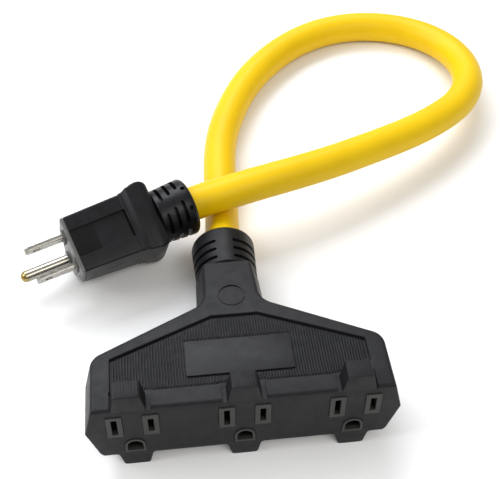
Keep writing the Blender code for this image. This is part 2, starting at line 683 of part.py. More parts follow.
def build():
    clear_scene()
    shell_grey = material("tap_shell_vinyl", (0.058, 0.058, 0.070), 0.55)
    frame_grey = material("carrier_plastic", (0.075, 0.075, 0.070), 0.45)
    cover_grey = material("cover_plastic", (0.060, 0.060, 0.058), 0.5)
    plug_black = material("plug_vinyl", (0.024, 0.025, 0.030), 0.5)
    relief_black = material("relief_vinyl", (0.024, 0.024, 0.028), 0.5)
    insert_grey = material("insert_plastic", (0.33, 0.33, 0.33), 0.45)
    nickel = material("nickel_plate", (0.62, 0.60, 0.56), 0.3, 1.0)
    brass = material("contact_brass", (0.72, 0.52, 0.22), 0.35, 1.0)
    yellow = material("cord_jacket", (0.85, 0.58, 0.02), 0.5)
    surfaces = {
        "line": material("line_insulation", (0.02, 0.02, 0.02), 0.5),
        "neutral": material("neutral_insulation", (0.8, 0.8, 0.78), 0.5),
        "ground": material("ground_insulation", (0.02, 0.25, 0.06), 0.5),
    }
    copper = material("copper_strand", (0.75, 0.35, 0.2), 0.35, 1.0)
    make_shell(shell_grey)
    make_carrier(frame_grey)
    make_cover(cover_grey)
    make_bus("tap_line_bus", 1, 0.85, (20.4, LINE_STRIP_Z + 0.3), LINE_STRIP_Z, 8.0, 27.6, brass)
    make_bus("tap_neutral_bus", -1, 0.85, (NEUTRAL_STRIP_Z + 0.4, 27.6), NEUTRAL_STRIP_Z, -8.0, 18.25, brass)
    make_bus("tap_ground_bus", 0, 2.45, (9.3, GROUND_STRIP_Z + 0.3), GROUND_STRIP_Z, 0.0, 15.75, brass)
    tap_cups = {"line": (27.6 - AXIS_Z, 8.0), "neutral": (18.25 - AXIS_Z, -8.0), "ground": (15.75 - AXIS_Z, 0.0)}
    for core, start in tap_cups.items():
        make_core("tap_" + core, start, CORE_ANGLES[core], TAP, TAP_AXIS, CUP_Y, CHAMBER[1][1],
                  TAP_RELIEF[1] + RELIEF_SHOULDER, surfaces[core], copper)
    make_relief("tap_strain_relief", TAP, TAP_AXIS, TAP_RELIEF, (12.3, 12.9),
                (69.2, 73.4, 77.6), relief_black)
    make_plug_body(plug_black)
    make_insert(insert_grey)
    make_blade("plug_line_blade", -1, nickel)
    make_blade("plug_neutral_blade", 1, nickel)
    make_ground_pin(nickel)
    plug_cups = {"line": (-PLUG_AXIS_Z, -BLADE_OFFSET), "neutral": (-PLUG_AXIS_Z, BLADE_OFFSET),
                 "ground": (-GROUND_DROP - PLUG_AXIS_Z, 0.0)}
    for core, start in plug_cups.items():
        make_core("plug_" + core, start, -CORE_ANGLES[core], PLUG, PLUG_AXIS, ROOT_CUP, PLUG_RELIEF[0],
                  PLUG_RELIEF[1] + RELIEF_SHOULDER, surfaces[core], copper)
    make_relief("plug_strain_relief", PLUG, PLUG_AXIS, PLUG_RELIEF, (11.3, 12.1),
                (40.3, 44.0, 47.7), relief_black)
    make_cord(yellow)


build()
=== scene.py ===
"""Looks of the three-outlet extension cord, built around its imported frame.

Shapes are in millimetres in the frame of the outlet block or of the plug, as the helpers below
place them, and the cord's route is in metres on the floor.
"""
import json
import math

import bmesh
import bpy
import numpy as np
from mathutils import Matrix, Vector


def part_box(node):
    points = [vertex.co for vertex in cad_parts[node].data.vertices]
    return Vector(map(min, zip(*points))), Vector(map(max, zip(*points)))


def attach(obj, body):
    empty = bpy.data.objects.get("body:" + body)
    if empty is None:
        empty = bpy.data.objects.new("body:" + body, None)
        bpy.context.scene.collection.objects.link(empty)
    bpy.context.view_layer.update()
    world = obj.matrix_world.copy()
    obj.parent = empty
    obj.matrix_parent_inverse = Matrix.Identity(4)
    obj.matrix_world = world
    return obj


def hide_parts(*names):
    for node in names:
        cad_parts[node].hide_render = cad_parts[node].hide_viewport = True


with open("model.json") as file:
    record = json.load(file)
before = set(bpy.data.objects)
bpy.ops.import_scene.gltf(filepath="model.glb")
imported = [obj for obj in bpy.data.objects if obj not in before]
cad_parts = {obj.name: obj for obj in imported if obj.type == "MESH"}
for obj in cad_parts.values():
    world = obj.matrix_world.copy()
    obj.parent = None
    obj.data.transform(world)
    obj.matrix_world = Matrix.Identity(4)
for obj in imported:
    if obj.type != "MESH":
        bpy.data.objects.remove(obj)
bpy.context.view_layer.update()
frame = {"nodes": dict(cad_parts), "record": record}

RECORD = frame["record"]
MM = 0.001
BODY = "root"
BEVEL_ANGLE = 38.0                   # degrees: sharper edges are rolled
SMOOTH_ANGLE = 21.0                  # degrees: flatter edges are shaded smooth

# Outlet block: +X along the outlets, +Y back from the outlet face, +Z up, feet at zero.
FACE_MOUNT = (19.55, 0.0, 12.2)      # where the record's outlet_face mount lies on the block
OUTLETS = (-39.1, 0.0, 39.1)
SLOT_Z = 23.8
BLADE_OFFSET = 6.35
GROUND_DROP = 11.9
PARTING_Z = 20.5
BODY_HALF = 55.9
BODY_TOP = 33.6
BODY_BOTTOM = 6.3
SHOULDER_Y = 53.6
SHOULDER_SLOPE = 0.51
NECK_HALF = (13.5, 12.5)
NECK_START = 50.0
NECK_END = 66.0
NECK_SQUEEZE = 0.12
AXIS_Z = 20.3
LUG_XS = (-40.0, 0.0, 40.0)
LUG_DEPTH = 7.2
LUG_TOP = 40.4
NOTCH_HALF = 7.8                     # clearance round a lug, kept inside the panel's ends
NOTCH_LIMIT = 46.5
CAVITY = ((-49.3, 49.3), (2.2, 19.2), (7.9, 31.0))       # round the contact carrier
CHAMBER = ((-10.5, 10.5), (19.0, 42.0), (13.1, 30.6))    # behind it, for the cores
PANEL_DEPTH = 1.2
PANEL = ((-46, 7.4), (46, 7.4), (46, 22), (8.6, 38.2), (-8.6, 38.2), (-46, 22))
BADGE = (19.3, 12.0, 27.5)           # half width, front and rear
RIB_PITCH = 1.0
RIB_HEIGHT = 0.62
TAP_RELIEF = (58.0, 66.3, 85.5)      # spigot, collar and end, along the cord axis
PLUG_RELIEF = (31.0, 37.5, 52.8)
RELIEF_SHOULDER = 1.7
RELIEF_BORE_GAP = 0.3
CORD_BORE = 7.5

# Plug: +X out along the blades, +Z away from the ground pin.
PLUG_AXIS_Z = -1.2
PLUG_LENGTH = 37.2
PLUG_SECTIONS = (                    # depth, half width, top, side, then lower corners as y and z
    (0.0, 12.0, 8.4, -8.0, 8.2, -12.6, 6.3, -17.3, 5.2, -20.9),
    (25.3, 12.7, 8.4, -12.2, 9.4, -15.6, 7.5, -18.6, 6.2, -20.9),
    (29.3, 14.0, 9.8, -13.1, 10.1, -16.5, 7.8, -18.9, 6.4, -20.9),
    (32.5, 14.7, 10.4, -13.6, 10.5, -17.0, 8.0, -19.0, 6.5, -20.9),
    (60.0, 14.7, 10.4, -13.6, 10.5, -17.0, 8.0, -19.0, 6.5, -20.9),
)
PLUG_STATIONS = (                    # depth and inset of each ring of the moulding
    (1.5, 0.15), (1.7, 0.0), (9.0, 0.0), (17.0, 0.0), (24.9, 0.0), (25.4, -0.16), (25.9, -0.12),
    (26.4, 0.1), (27.6, 0.06), (28.4, -0.1), (28.9, -0.1), (29.5, 0.06), (31.2, 0.0), (33.0, 0.03),
    (34.2, 0.16), (35.2, 0.4), (36.1, 0.8), (36.8, 1.35), (PLUG_LENGTH, 2.0),
)
PLUG_PANEL = ((0.5, 5.6, 8.0), (25.2, 5.9, 6.9))    # depth, half width and floor at each end
BLADE_TIP = 16.8
BLADE_HALF = 3.175
BLADE_THICKNESS = 1.52
PIN_RADIUS = 2.4
PIN_TIP = 21.4

# Cord: the same free run as the solid's, in millimetres on the floor.
CORD_RADIUS = 7.2
CORD_ROUTE = (
    (0.8, 52.5, 10.7), (1.5, 62, 8.4), (2.2, 73, 7.4), (3.0, 87, 7.25), (4.2, 101, 7.25),
    (7.2, 116, 7.25), (12.6, 131, 7.25), (19.5, 145, 7.25), (28.3, 157.6, 7.25), (38.8, 168.6, 7.25),
    (51, 177.7, 7.25), (65, 184.2, 7.25), (80, 187.0, 7.25), (95, 185.8, 7.25), (109, 180.4, 7.6),
    (120.3, 170.8, 8.6), (127.6, 157.6, 10.0), (129.6, 143.2, 11.6), (126.5, 129.4, 13.3),
    (118.8, 117.3, 15.0), (107.5, 107, 16.8), (94.5, 98.3, 18.5), (80, 90.5, 20.2), (65, 83.4, 21.8),
    (49.5, 76.6, 23.3), (34, 71, 24.4), (18.5, 66.4, 24.8), (4, 63.2, 23.7),
)

# Camera: above and in front of the block, a little to its left.
CAMERA_PLACE = (-21.1, -203.1, 319.5)
CAMERA_HEADING = 7.53                # degrees to the right of +Y
CAMERA_PITCH = 50.69                 # degrees below level
CAMERA_ROLL = 1.38
CAMERA_LENS = 68.4


# ---------------------------------------------------------------- frames of the two ends

def mount(name):
    """Position in millimetres and outward normal of one of the record's mounts."""
    found = next(item for item in RECORD["mounts"] if item["name"] == name)
    return Vector(found["pos_m"]) / MM, Vector(found["axis"]).normalized()


def axes_frame(origin, x, y, z):
    """Matrix from a frame's millimetres to metres on the floor."""
    turn = Matrix((x, y, z)).transposed().to_4x4()
    return Matrix.Scale(MM, 4) @ Matrix.Translation(origin) @ turn


def tap_frame():
    place, normal = mount("outlet_face")
    x = Vector((1, 0, 0))
    y = -normal
    z = x.cross(y)
    origin = place - x * FACE_MOUNT[0] - z * FACE_MOUNT[2]
    return axes_frame(origin, x, y, z)


def plug_frame():
    place, x = mount("plug_face")
    line, neutral = (sum((Vector(corner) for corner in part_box(node)), Vector()) / 2
                     for node in ("plug_line_blade", "plug_neutral_blade"))
    y = (neutral - line).normalized()
    y = (y - x * y.dot(x)).normalized()
    return axes_frame(place, x, y, x.cross(y))


TAP = tap_frame()
PLUG = plug_frame()
TAP_AXIS = Matrix.Translation((0, 0, AXIS_Z)) @ Matrix(
    ((0, 1, 0, 0), (0, 0, 1, 0), (1, 0, 0, 0), (0, 0, 0, 1)))
PLUG_AXIS = Matrix.Translation((0, 0, PLUG_AXIS_Z)) @ Matrix.Rotation(-math.pi / 2, 4, 'Y')
PIN_AXIS = Matrix.Translation((0, 0, -GROUND_DROP - PLUG_AXIS_Z)) @ PLUG_AXIS


# ---------------------------------------------------------------- camera and cord

def make_camera():
    data = bpy.data.cameras.new("camera")
    data.lens = CAMERA_LENS
    data.sensor_width = 36
    data.clip_start = 0.01
    camera = bpy.data.objects.new("camera", data)
    turn = (Matrix.Rotation(math.radians(-CAMERA_HEADING), 4, 'Z')
            @ Matrix.Rotation(math.radians(90 - CAMERA_PITCH), 4, 'X')
            @ Matrix.Rotation(math.radians(CAMERA_ROLL), 4, 'Z'))
    camera.matrix_world = Matrix.Translation(Vector(CAMERA_PLACE) * MM) @ turn
    bpy.context.scene.collection.objects.link(camera)
    bpy.context.scene.camera = camera


def smooth_route(points, first_tangent, last_tangent, samples=8):
    """Cubic spline through points with its end directions given."""
    points = np.array(points)
    spans = np.linalg.norm(np.diff(points, axis=0), axis=1)
    slopes = np.diff(points, axis=0) / spans[:, None]
    count = len(points)
    system = np.eye(count)
    right = np.zeros((count, 3))
    right[0] = first_tangent
    right[-1] = last_tangent
    for k in range(1, count - 1):
        system[k, k - 1:k + 2] = spans[k], 2 * (spans[k - 1] + spans[k]), spans[k - 1]
        right[k] = 3 * (spans[k] * slopes[k - 1] + spans[k - 1] * slopes[k])
    tangents = np.linalg.solve(system, right)
    curve = []
    for k, span in enumerate(spans):
        for t in np.arange(samples) / samples:
            curve.append((1 + 2 * t) * (1 - t) ** 2 * points[k] + t * (1 - t) ** 2 * span * tangents[k]
                         + t * t * (3 - 2 * t) * points[k + 1] - t * t * (1 - t) * span * tangents[k + 1])
    return np.array(curve + [points[-1]])


def cord_route():
    """The cord's whole centreline in metres, from shoulder to shoulder, and its tap-side exit."""
    tap_axis = TAP @ TAP_AXIS
    plug_axis = PLUG @ PLUG_AXIS
    tap_out = tap_axis.to_3x3().col[2].normalized()
    plug_out = plug_axis.to_3x3().col[2].normalized()
    ends = [axis @ Vector((0, 0, span[1] + RELIEF_SHOULDER + RELIEF_BORE_GAP))
            for axis, span in ((tap_axis, TAP_RELIEF), (plug_axis, PLUG_RELIEF))]
    mouths = [axis @ Vector((0, 0, span[2] + 1.0))
              for axis, span in ((tap_axis, TAP_RELIEF), (plug_axis, PLUG_RELIEF))]
    run = [tuple(mouths[0])] + [tuple(MM * value for value in point) for point in CORD_ROUTE]
    run.append(tuple(mouths[1]))
    route = [tuple(ends[0])] + [tuple(p) for p in smooth_route(run, tap_out, -plug_out)] + [tuple(ends[1])]
    return route, tuple(mouths[0])


def make_cord(surface):
    route, exit_point = cord_route()
    data = bpy.data.curves.new("cord_jacket", 'CURVE')
    data.dimensions = '3D'
    data.bevel_depth = CORD_RADIUS * MM
    data.bevel_resolution = 10
    data.use_fill_caps = True
    spline = data.splines.new('POLY')
    spline.points.add(len(route) - 1)
    for point, place in zip(spline.points, route):
        point.co = (*place, 1.0)
    spline.use_smooth = True
    data.materials.append(surface)
    cord = bpy.data.objects.new("cord_jacket", data)
    bpy.context.scene.collection.objects.link(cord)
    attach(cord, BODY)
    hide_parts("cord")
    length = float(np.linalg.norm(np.diff(np.array(route), axis=0), axis=1).sum())
    return cord, exit_point, length


# ---------------------------------------------------------------- materials

def linear(red, green, blue):
    """Linear colour from an 8-bit display colour."""
    values = [channel / 255 for channel in (red, green, blue)]
    return tuple(v / 12.92 if v <= 0.04045 else ((v + 0.055) / 1.055) ** 2.4 for v in values)


class Surface:
    """A Principled material, with helpers for its procedural nodes in object coordinates."""

    def __init__(self, name):
        self.made = bpy.data.materials.new(name)
        self.made.use_nodes = True
        self.nodes = self.made.node_tree.nodes
        self.links = self.made.node_tree.links
        self.shader = self.nodes["Principled BSDF"]
        self.place = self.nodes.new("ShaderNodeTexCoord").outputs["Object"]

    def set(self, **values):
        names = {"roughness": "Roughness", "metallic": "Metallic",
                 "specular": "Specular IOR Level", "subsurface": "Subsurface Weight"}
        for key, value in values.items():
            self.shader.inputs[names[key]].default_value = value

    def noise(self, scale, detail=4.0, roughness=0.6, stretch=None):
        texture = self.nodes.new("ShaderNodeTexNoise")
        texture.inputs["Scale"].default_value = scale
        texture.inputs["Detail"].default_value = detail
        texture.inputs["Roughness"].default_value = roughness
        place = self.place
        if stretch:
            mapping = self.nodes.new("ShaderNodeMapping")
            mapping.inputs["Scale"].default_value = stretch
            self.links.new(place, mapping.inputs["Vector"])
            place = mapping.outputs["Vector"]
        self.links.new(place, texture.inputs["Vector"])
        return texture.outputs["Fac"]

    def ramp(self, value, stops):
        ramp = self.nodes.new("ShaderNodeValToRGB")
        while len(ramp.color_ramp.elements) < len(stops):
            ramp.color_ramp.elements.new(0.5)
        for element, (position, colour) in zip(ramp.color_ramp.elements, stops):
            element.position = position
            element.color = (*colour, 1.0)
        self.links.new(value, ramp.inputs["Fac"])
        return ramp.outputs["Color"]

    def colour(self, value, stops):
        self.links.new(self.ramp(value, stops), self.shader.inputs["Base Color"])

    def vary_roughness(self, value, low, high):
        remap = self.nodes.new("ShaderNodeMapRange")
        remap.inputs["From Min"].default_value = 0.3
        remap.inputs["From Max"].default_value = 0.7
        remap.inputs["To Min"].default_value = low
        remap.inputs["To Max"].default_value = high
        self.links.new(value, remap.inputs["Value"])
        self.links.new(remap.outputs["Result"], self.shader.inputs["Roughness"])

    def height_over(self, name, low, high, unevenness):
        """0 to 1 between two heights in millimetres over a mount's plane, with a noisy edge."""
        place, out = mount(name)
        along = self.nodes.new("ShaderNodeVectorMath")
        along.operation = 'DOT_PRODUCT'
        along.inputs[1].default_value = tuple(out)
        self.links.new(self.place, along.inputs[0])
        share = self.nodes.new("ShaderNodeMapRange")
        share.inputs["From Min"].default_value = (place.dot(out) + low) * MM
        share.inputs["From Max"].default_value = (place.dot(out) + high) * MM
        self.links.new(along.outputs["Value"], share.inputs["Value"])
        grain = self.nodes.new("ShaderNodeMath")
        grain.operation = 'MULTIPLY_ADD'
        grain.inputs[1].default_value = unevenness
        grain.inputs[2].default_value = -unevenness / 2
        self.links.new(self.noise(500.0, 4.0), grain.inputs[0])
        total = self.nodes.new("ShaderNodeMath")
        total.operation = 'ADD'
        self.links.new(share.outputs["Result"], total.inputs[0])
        self.links.new(grain.outputs["Value"], total.inputs[1])
        return total.outputs["Value"]

    def bump(self, layers):
        """Stack of (height, strength, distance) bumps."""
        normal = None
        for height, strength, distance in layers:
            node = self.nodes.new("ShaderNodeBump")
            node.inputs["Strength"].default_value = strength
            node.inputs["Distance"].default_value = distance
            self.links.new(height, node.inputs["Height"])
            if normal:
                self.links.new(normal, node.inputs["Normal"])
            normal = node.outputs["Normal"]
        self.links.new(normal, self.shader.inputs["Normal"])


def vinyl(name, dark, light, roughness=(0.42, 0.6), grain=0.25, specular=0.5):
    """Moulded flexible vinyl: a fine leathery grain, faint mottling and soft gloss."""
    surface = Surface(name)
    mottle = surface.noise(90.0, 5.0, 0.65)
    fine = surface.noise(2600.0, 2.0, 0.5)
    surface.colour(mottle, ((0.32, dark), (0.68, light)))
    surface.vary_roughness(surface.noise(300.0, 3.0), *roughness)
    surface.set(specular=specular)
    surface.bump(((fine, grain, 0.00012), (surface.noise(160.0, 3.0), 0.15, 0.0003)))
    return surface.made


def jacket():
    """Yellow cord jacket: satin, slightly translucent, with faint drag marks and lay."""
    surface = Surface("cord_jacket_yellow")
    surface.colour(surface.noise(35.0, 4.0), ((0.3, linear(221, 181, 1)), (0.7, linear(229, 190, 4))))
    surface.vary_roughness(surface.noise(400.0, 3.0), 0.38, 0.52)
    surface.set(specular=0.22, subsurface=0.03)
    surface.shader.inputs["Subsurface Radius"].default_value = (0.004, 0.003, 0.0005)
    surface.bump(((surface.noise(900.0, 3.0), 0.15, 0.0002), (surface.noise(60.0, 2.0), 0.12, 0.0008)))
    return surface.made


def metal(name, dark, light, roughness=(0.2, 0.36)):
    """Plated metal with fine brushing."""
    surface = Surface(name)
    brushed = surface.noise(1500.0, 3.0, 0.55, stretch=(0.04, 1.0, 1.0))
    surface.colour(brushed, ((0.3, dark), (0.7, light)))
    surface.vary_roughness(brushed, *roughness)
    surface.set(metallic=1.0)
    return surface.made


def pin_metal(name):
    """Ground pin: nickel over brass, worn to brass towards the tip."""
    surface = Surface(name)
    worn = surface.height_over("plug_face", 16.5, 21.5, 0.5)
    surface.colour(worn, ((0.15, linear(166, 162, 152)), (0.8, linear(158, 134, 74))))
    surface.vary_roughness(surface.noise(700.0, 4.0), 0.18, 0.26)
    surface.set(metallic=1.0)
    return surface.made


def carrier_nylon(name):
    """Grey frames at the outlet face, with painted shade taking them to near black in the depth of the
    slots.
    """
    surface = Surface(name)
    # painted shade: the grey falls to near black with depth behind the outlet face, standing in for the
    # shadow inside the slots
    height = surface.height_over("outlet_face", -2.2, -0.4, 0.3)
    surface.colour(height, ((0.1, linear(12, 12, 12)), (0.9, linear(56, 56, 54))))
    surface.vary_roughness(surface.noise(300.0, 3.0), 0.42, 0.54)
    surface.set(specular=0.25)
    surface.bump(((surface.noise(2600.0, 2.0), 0.12, 0.0001),))
    return surface.made


def floor_material():
    surface = Surface("studio_floor")
    surface.colour(surface.noise(3.0, 2.0), ((0.3, (0.92, 0.92, 0.92)), (0.7, (0.94, 0.94, 0.94))))
    surface.set(roughness=0.7, specular=0.2)
    return surface.made


# ---------------------------------------------------------------- outlines and solids

def rounded(corners, steps=6):
    """Closed outline through (u, v, radius) corners, each turned into an arc of equal steps."""
    outline = []
    for index, (u, v, radius) in enumerate(corners):
        if radius <= 0:
            outline.append((u, v))
            continue
        corner = Vector((u, v))
        before = (Vector(corners[index - 1][:2]) - corner).normalized()
        after = (Vector(corners[(index + 1) % len(corners)][:2]) - corner).normalized()
        half_angle = before.angle(after) / 2
        reach = radius / math.tan(half_angle)
        centre = corner + (before + after).normalized() * radius / math.sin(half_angle)
        start, end = (math.atan2(arm.y, arm.x) for arm in (corner + before * reach - centre,
                                                           corner + after * reach - centre))
        swing = (end - start + math.pi) % (2 * math.pi) - math.pi
        for step in range(steps + 1):
            angle = start + swing * step / steps
            outline.append((centre.x + radius * math.cos(angle), centre.y + radius * math.sin(angle)))
    return outline


def rectangle(centre, half_u, half_v, radius=0.0, steps=4):
    u, v = centre
    return rounded([(u - half_u, v - half_v, radius), (u + half_u, v - half_v, radius),
                    (u + half_u, v + half_v, radius), (u - half_u, v + half_v, radius)], steps)


def arch(centre, half, steps=20):
    u, v = centre
    top = [(u + half * math.cos(math.pi * k / steps), v + half * math.sin(math.pi * k / steps))
           for k in range(steps + 1)]
    return [(u - half, v - half), (u + half, v - half)] + top


def grown(outline, amount):
    """A counterclockwise outline moved outwards."""
    points = [Vector(point) for point in outline]
    moved = []
    for before, point, after in zip(points[-1:] + points[:-1], points, points[1:] + points[:1]):
        first, second = ((b - a).normalized() for a, b in ((before, point), (point, after)))
        outward = Vector((first.y + second.y, -first.x - second.x)).normalized()
        share = max(outward.dot(Vector((first.y, -first.x))), 0.5)
        moved.append(tuple(point + outward * amount / share))
    return moved


def loft(rings):
    bm = bmesh.new()
    rows = [[bm.verts.new(point) for point in ring] for ring in rings]
    count = len(rows[0])
    for lower, upper in zip(rows, rows[1:]):
        for k in range(count):
            bm.faces.new((lower[k], lower[(k + 1) % count], upper[(k + 1) % count], upper[k]))
    bm.faces.new(rows[0][::-1])
    bm.faces.new(rows[-1])
    bmesh.ops.recalc_face_normals(bm, faces=bm.faces)
    return bm


def prism(outline, axis, low, high):
    place = {'X': lambda u, v, w: (w, u, v), 'Y': lambda u, v, w: (u, w, v),
             'Z': lambda u, v, w: (u, v, w)}[axis]
    return loft([[place(u, v, w) for u, v in outline] for w in (low, high)])


def box(x, y, z):
    return prism([(x[0], y[0]), (x[1], y[0]), (x[1], y[1]), (x[0], y[1])], 'Z', *z)


def lathe(profile, place, closed=False, steps=72):
    bm = bmesh.new()
    verts = [bm.verts.new((radius, 0, along)) for radius, along in profile]
    pairs = list(zip(verts, verts[1:]))
    if closed:
        pairs.append((verts[-1], verts[0]))
    edges = [bm.edges.new(pair) for pair in pairs]
    bmesh.ops.spin(bm, geom=verts + edges, axis=(0, 0, 1), cent=(0, 0, 0),
                   angle=2 * math.pi, steps=steps, use_merge=True)
    bmesh.ops.remove_doubles(bm, verts=bm.verts, dist=0.001)
    bmesh.ops.recalc_face_normals(bm, faces=bm.faces)
    bm.transform(place)
    return bm


def ring_sector(inner, outer, along, width, start, end, place, step=5.0):
    """Part of a flat ring about the Z axis of a placing matrix, with rounded ends."""
    ease = math.degrees(width / 2 / outer)
    count = max(int((end - start) / step), 2)
    angles = [math.radians(start + ease + (end - start - 2 * ease) * k / count) for k in range(count + 1)]
    rows = []
    for a in [angles[0] - math.radians(ease)] + angles + [angles[-1] + math.radians(ease)]:
        half = width / 2 if angles[0] - 1e-6 <= a <= angles[-1] + 1e-6 else width / 5
        rows.append([(r * math.cos(a), r * math.sin(a), along + h) for r, h in
                     ((inner, -half), (outer, -half), (outer, half), (inner, half))])
    bm = loft(rows)
    bm.transform(place)
    return bm


def together(parts):
    whole = bmesh.new()
    for part in parts:
        mesh = bpy.data.meshes.new("part")
        part.to_mesh(mesh)
        part.free()
        whole.from_mesh(mesh)
        bpy.data.meshes.remove(mesh)
    return whole


def piece(name, bm, surface):
    mesh = bpy.data.meshes.new(name)
    bm.to_mesh(mesh)
    bm.free()
    mesh.materials.append(surface)
    made = bpy.data.objects.new(name, mesh)
    bpy.context.scene.collection.objects.link(made)
    return made


def apply_modifiers(target):
    surface = target.data.materials[0]
    evaluated = target.evaluated_get(bpy.context.evaluated_depsgraph_get())
    result = bpy.data.meshes.new_from_object(evaluated)
    target.modifiers.clear()
    target.data = result
    result.materials.clear()
    result.materials.append(surface)


def combine(target, bm, operation):
    tool = piece(target.name + "_tool", bm, target.data.materials[0])
    step = target.modifiers.new(operation.lower(), 'BOOLEAN')
    step.solver = 'EXACT'
    step.operation = operation
    step.object = tool
    apply_modifiers(target)
    bpy.data.objects.remove(tool, do_unlink=True)


def cut(target, bm):
    combine(target, bm, 'DIFFERENCE')


def fuse(target, bm):
    combine(target, bm, 'UNION')


def round_edges(target, width, segments=3):
    """Join coplanar faces, then roll every real edge."""
    bm = bmesh.new()
    bm.from_mesh(target.data)
    bmesh.ops.remove_doubles(bm, verts=bm.verts, dist=0.002)
    bmesh.ops.dissolve_limit(bm, angle_limit=math.radians(0.4), verts=bm.verts, edges=bm.edges)
    bm.to_mesh(target.data)
    bm.free()
    bevel = target.modifiers.new("bevel", 'BEVEL')
    bevel.width = width
    bevel.segments = segments
    bevel.limit_method = 'ANGLE'
    bevel.angle_limit = math.radians(BEVEL_ANGLE)
    bevel.miter_outer = 'MITER_ARC'
    apply_modifiers(target)


def softened(bm, width):
    """A shape with its edges rolled, ready to be joined to another."""
    shape = piece("softened", bm, bpy.data.materials[0])
    round_edges(shape, width)
    result = bmesh.new()
    result.from_mesh(shape.data)
    bpy.data.objects.remove(shape, do_unlink=True)
    return result


def finish(target, where, replaces=()):
    """Move a finished piece onto the floor in metres, parent it to the body and hide the frame's parts it
    replaces.
    """
    target.data.transform(where)
    target.data.shade_smooth()
    target.data.set_sharp_from_angle(angle=math.radians(SMOOTH_ANGLE))
    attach(target, BODY)
    if replaces:
        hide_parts(*replaces)
    return target


# ---------------------------------------------------------------- outlet block

def body_ring(z, inset, front):
    """Outline of the outlet block at one height: sides moved in, front face moved back."""
    half = BODY_HALF - inset
    shoulder = SHOULDER_Y - inset * math.hypot(1, SHOULDER_SLOPE)
    near, far = (width - inset for width in NECK_HALF)
    right = [(half, front, 0.5), (half, shoulder - SHOULDER_SLOPE * half, 9.0 - inset),
             (near, shoulder - SHOULDER_SLOPE * near, 5.0 + inset), (far, NECK_END, 0.8)]
    left = [(-x, y, radius) for x, y, radius in reversed(right)]
    ring = []
    for x, y in rounded(right + left, steps=9):
        squeeze = 1 - NECK_SQUEEZE * min(max((y - NECK_START) / (NECK_END - NECK_START), 0), 1)
        ring.append((x, y, AXIS_Z + (z - AXIS_Z) * squeeze))
    return ring


def outlet_faces(half_width, half_height, arch_half, low, high):
    parts = []
    for x in OUTLETS:
        for side in (-1, 1):
            centre = (x + side * BLADE_OFFSET, SLOT_Z)
            parts.append(prism(rectangle(centre, half_width, half_height, 0.4), 'Y', low, high))
        parts.append(prism(arch((x, SLOT_Z - GROUND_DROP), arch_half), 'Y', low, high))
    return together(parts)


def foot_outline(x):
    """A foot seen from the front, with fillets where it leaves the body."""
    return rounded([(x - 9.5, 7.2, 0), (x - 9.5, 6.35, 0), (x - 6.15, 6.35, 1.4), (x - 4.6, -0.35, 1.3),
                    (x + 4.6, -0.35, 1.3), (x + 6.15, 6.35, 1.4), (x + 9.5, 6.35, 0), (x + 9.5, 7.2, 0)], 5)


def lug_outline(x):
    return rounded([(x - 6.2, 32.0, 0), (x - 4.5, LUG_TOP, 0.9),
                    (x + 4.5, LUG_TOP, 0.9), (x + 6.2, 32.0, 0)], 5)


def make_tap_body(surface):
    levels = ((BODY_BOTTOM, 5.6, 0.25), (6.45, 5.1, 0.05), (7.0, 4.5, 0.0), (8.0, 3.9, 0.0),
              (PARTING_Z, 0.0, 0.0), (32.3, 2.8, 0.0), (32.8, 3.0, 0.08), (33.15, 3.2, 0.25),
              (33.4, 3.5, 0.5), (33.55, 3.9, 0.85), (BODY_TOP, 4.4, 1.25))
    body_shape = loft([body_ring(*level) for level in levels])
    bent = [face for face in body_shape.faces if len(face.verts) > 4]
    bmesh.ops.triangulate(body_shape, faces=bent)
    body = piece("tap_body", body_shape, surface)
    fuse(body, together([softened(prism(foot_outline(x), 'Y', 0, LUG_DEPTH), 0.25) for x in OUTLETS]))
    panel = rounded([(x, y, 0.5) for x, y in PANEL], 3)
    rim = grown(panel, 0.28)
    steps = ((panel, -PANEL_DEPTH), (panel, -0.25), (rim, 0.03), (rim, 2.0))
    cut(body, loft([[(x, y, BODY_TOP + height) for x, y in outline] for outline, height in steps]))
    notches = [box((max(x - NOTCH_HALF, -NOTCH_LIMIT), min(x + NOTCH_HALF, NOTCH_LIMIT)), (-1, 7.9),
                   (BODY_TOP - PANEL_DEPTH, BODY_TOP + 2)) for x in LUG_XS]
    cut(body, together(notches))
    fuse(body, together([softened(prism(lug_outline(x), 'Y', 0, LUG_DEPTH), 0.45) for x in LUG_XS]))
    cut(body, box(*CAVITY))
    cut(body, box(*CHAMBER))
    bore = [(0, 41.8), (6.5, 41.8), (6.5, 57.7), (8.0, 57.7), (8.0, 68), (0, 68)]
    cut(body, lathe(bore, TAP_AXIS))
    cut(body, outlet_faces(2.95, 5.85, 3.85, -1.0, 2.6))
    below_floor = box((-0.1, 0.1), (-0.1, 0.1), (-0.02, 0.0))
    below_floor.transform(TAP.inverted())
    cut(body, below_floor)
    return finish(body, TAP, ["tap_shell"])


def ridge(start, end, half, height, across, up):
    """One rib: a low ridge with sloping flanks and ends, from start to end."""
    start, end = Vector(start), Vector(end)
    along = (end - start).normalized() * height
    rows = []
    for point, push, lift in ((start, 0, 0.0), (start, 1, 1.0), (end, -1, 1.0), (end, 0, 0.0)):
        base = point + along * push
        rows.append([base - across * half - up * 0.15,
                     base - across * half * 0.45 + up * height * lift,
                     base + across * half * 0.45 + up * height * lift,
                     base + across * half - up * 0.15])
    return loft(rows)


def panel_reach(x):
    """How far back the recessed panel reaches at a place along the block."""
    corner_x, corner_y = PANEL[2]
    peak_x, peak_y = PANEL[3]
    share = min(max((abs(x) - peak_x) / (corner_x - peak_x), 0), 1)
    return peak_y + (corner_y - peak_y) * share


